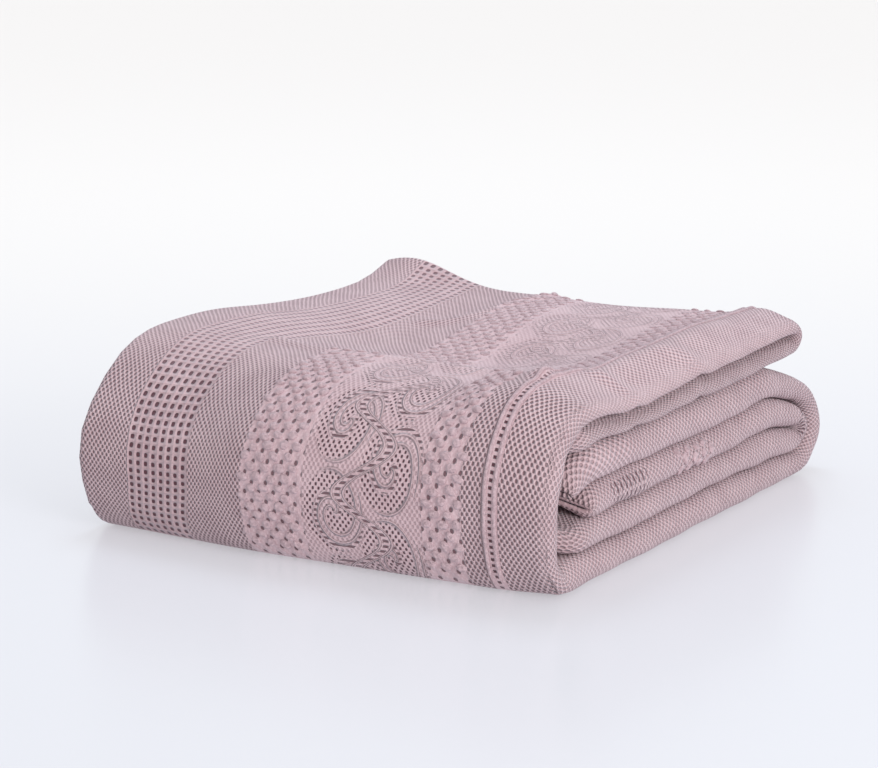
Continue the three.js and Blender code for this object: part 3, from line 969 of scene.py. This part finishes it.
def lay_lump(seed, k, t, rise):
    """A copy of the seed lump on the cloth, a little shifted, turned and resized by chance."""
    lump = seed.copy()
    lump.data = seed.data.copy()
    bpy.context.scene.collection.objects.link(lump)
    shift = rng.normal(0, LUMP_SHIFT, 2)
    turned = Matrix.Rotation(math.radians(LUMP_TURN + rng.normal(0, LUMP_TURN_SPREAD)), 4, "Z")
    wide, long = LUMP_WIDE * rng.uniform(*LUMP_SPREAD), LUMP_LONG * rng.uniform(*LUMP_SPREAD)
    size = Matrix.Diagonal((wide * MM, long * MM, rise * MM, 1))
    lump.matrix_world = frame_on_cloth(C_START + k + shift[0], t + shift[1], CLOTH / 2) @ turned @ size
    return lump


seed_lump = dented_lump()
lumps = []
for band_from, band_to, along_from, along_to, rise in BOBBLE_FIELDS:
    least, most = band_from + LUMP_MARGIN, band_to - LUMP_MARGIN
    for row in range(math.ceil(along_from / BOBBLE_ALONG * 2), math.ceil(along_to / BOBBLE_ALONG * 2)):
        first = math.ceil(least / BOBBLE_ACROSS) * BOBBLE_ACROSS - (row % 2) * BOBBLE_ACROSS / 2
        for column in range(MOST_COLUMNS):
            k = first + column * BOBBLE_ACROSS
            if least < k < most:
                lumps.append(lay_lump(seed_lump, k, row * BOBBLE_ALONG / 2, rise))
bpy.data.objects.remove(seed_lump)
bobbles = join_all(lumps, "bobbles")
print(len(lumps), "bobbles")

# %% [markdown]
# ## Double cord
# Two thin ribs run beside the border. Each is a curve along the cloth with a round bevel, turned into a
# mesh.

# %% Cord ribs
RIB_RADIUS, RIB_LIFT, RIB_STEP = 1.35, CLOTH / 2 + 0.3, 3


def rib(k, t_from, t_to):
    """A round rib along the cloth at a distance k from ply c's left fold."""
    count = int((t_to - t_from) / RIB_STEP)
    along = np.linspace(t_from, t_to, count)
    places = fold(np.full(count, C_START + k), along, RIB_LIFT) * MM
    curve = bpy.data.curves.new("rib", "CURVE")
    curve.dimensions = "3D"
    curve.bevel_depth = RIB_RADIUS * MM
    curve.bevel_resolution = 1
    curve.use_fill_caps = True
    line = curve.splines.new("POLY")
    line.points.add(count - 1)
    line.points.foreach_set("co", np.concatenate([places, np.ones((count, 1))], 1).ravel())
    made = bpy.data.objects.new("rib", curve)
    bpy.context.scene.collection.objects.link(made)
    bpy.ops.object.select_all(action="DESELECT")
    made.select_set(True)
    bpy.context.view_layer.objects.active = made
    bpy.ops.object.convert(target="MESH")
    return bpy.context.object


cords = join_all([rib(k, wrap_start, wrap_end) for k in CORDS], "cord_ribs")
print("two ribs", round(wrap_end - wrap_start), "mm long")

# %% [markdown]
# ## Yarn of the raised parts, and who rides what
# The lumps and ribs have no flat map, so their yarn is a fine noise in the same colours. Then each piece
# is told which body it rides and which material slot it takes, and the solid's own part is hidden.

# %% Yarn material and frame
LUMP_DEEP, LUMP_PALE = (0.44, 0.315, 0.34, 1), (0.60, 0.445, 0.475, 1)
STITCH_SCALE, YARN_BUMP = 420.0, 0.0016


def yarn_material(name):
    """The same cotton, with fine stitches from a noise."""
    made, shader = new_finish(name, COTTON)
    place = Signal.node("ShaderNodeTexCoord", {}, {}, output="Object")
    stitches = noise(place, STITCH_SCALE, 3.0)
    colour = mix_colour(stitches.rise(*CLOUD_SPAN), LUMP_DEEP, LUMP_PALE)
    plug(shader, {"Base Color": colour, "Normal": bumped(stitches, YARN_BUMP)})
    return made


yarn = yarn_material("yarn")
for piece in (bobbles, cords):
    piece.data.materials.append(yarn)
for piece in (blanket, bobbles, cords):
    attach(piece, "root")
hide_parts("blanket")
print("pieces:", ", ".join(piece.name for piece in (blanket, bobbles, cords)))

# %% [markdown]
# ## Stage and light
# A pale floor runs into a pale background: a little light of its own keeps the shadows faint, as in a
# studio. One large soft light stands above and behind to the left, and a weaker one fills the front.

# %% Stage and light
FLOOR_SIZE = 40
FLOOR_NEAR, FLOOR_FAR, FLOOR_SPAN = (0.39, 0.405, 0.44, 1), (0.42, 0.42, 0.42, 1), (-0.15, 1.0)
# The floor's own painted glow, near and far, which keeps shadows faint and brightens the far floor.
GLOW_NEAR, GLOW_FAR, GLOW_SPAN = (0.37, 0.37, 0.385, 1), (0.45, 0.44, 0.43, 1), (-0.2, 1.6)
FLOOR = {"Roughness": 0.25, "Emission Strength": 1.0, "Specular IOR Level": 0.35}
# The direction away from the camera, along which the floor's colour and its painted glow grow paler.
VIEW_X, VIEW_Y = -0.5, 0.866
WORLD_COLOUR, WORLD_STRENGTH = (0.98, 0.98, 1.0, 1), 0.76

bpy.ops.object.select_all(action="DESELECT")
bpy.ops.mesh.primitive_plane_add(size=FLOOR_SIZE, location=(0, 0, 0))
floor = bpy.context.object
floor.name = "floor"
floor_finish, floor_shader = new_finish("floor", FLOOR)
floor_x, floor_y = parts_of(Signal.node("ShaderNodeTexCoord", {}, {}, output="Object"))
behind = floor_y * VIEW_Y + floor_x * VIEW_X
plug(floor_shader, {
    "Base Color": mix_colour(behind.rise(*FLOOR_SPAN), FLOOR_NEAR, FLOOR_FAR),
    "Emission Color": mix_colour(behind.rise(*GLOW_SPAN), GLOW_NEAR, GLOW_FAR),
})
floor.data.materials.append(floor_finish)

world = bpy.data.worlds.new("studio")
bpy.context.scene.world = world
world.use_nodes = True
background = world.node_tree.nodes["Background"]
background.inputs["Color"].default_value = WORLD_COLOUR
background.inputs["Strength"].default_value = WORLD_STRENGTH
bpy.context.scene.view_settings.view_transform = "Standard"


def area_light(name, place, aim, size, power, colour):
    """A square soft light at place, turned towards aim."""
    data = bpy.data.lights.new(name, "AREA")
    data.size = size
    data.energy = power
    data.color = colour
    lamp = bpy.data.objects.new(name, data)
    bpy.context.scene.collection.objects.link(lamp)
    lamp.location = place
    dx, dy, dz = [a - b for a, b in zip(aim, place)]
    lamp.rotation_euler = (math.atan2(math.hypot(dx, dy), -dz), 0, math.atan2(dy, dx) - math.pi / 2)
    return lamp


key = area_light("key", (-0.5, 0.9, 2.2), (0, 0, 0.05), 1.2, 18.5, (0.80, 0.90, 1.0))
fill = area_light("fill", (2.0, -1.1, 0.75), (0, 0, 0.06), 1.0, 27, (1.0, 0.98, 0.97))
print("key", key.data.energy, "W and fill", fill.data.energy, "W")

# %% [markdown]
# ## Camera
# A long lens stands low and to the right, as in the photograph. Azimuth turns it round the pile,
# elevation lifts it, and it looks at a point near the pile's middle.

# %% Camera
AZIMUTH, ELEVATION, DISTANCE = 29.955, 12.285, 2.1433
AIM = (-0.02498, 0.0125, 0.07811)
LENS, SENSOR, SEES_TO = 123.8, 36, 100
azimuth, elevation = math.radians(AZIMUTH), math.radians(ELEVATION)
camera_data = bpy.data.cameras.new("camera")
camera_data.lens = LENS
camera_data.sensor_width = SENSOR
camera_data.clip_end = SEES_TO
camera = bpy.data.objects.new("camera", camera_data)
bpy.context.scene.collection.objects.link(camera)
camera.location = (
    AIM[0] + DISTANCE * math.sin(azimuth) * math.cos(elevation),
    AIM[1] - DISTANCE * math.cos(azimuth) * math.cos(elevation),
    AIM[2] + DISTANCE * math.sin(elevation),
)
camera.rotation_euler = (math.pi / 2 - elevation, 0, azimuth)
bpy.context.scene.camera = camera
print("camera stands at", tuple(round(v, 3) for v in camera.location))

# %% [markdown]
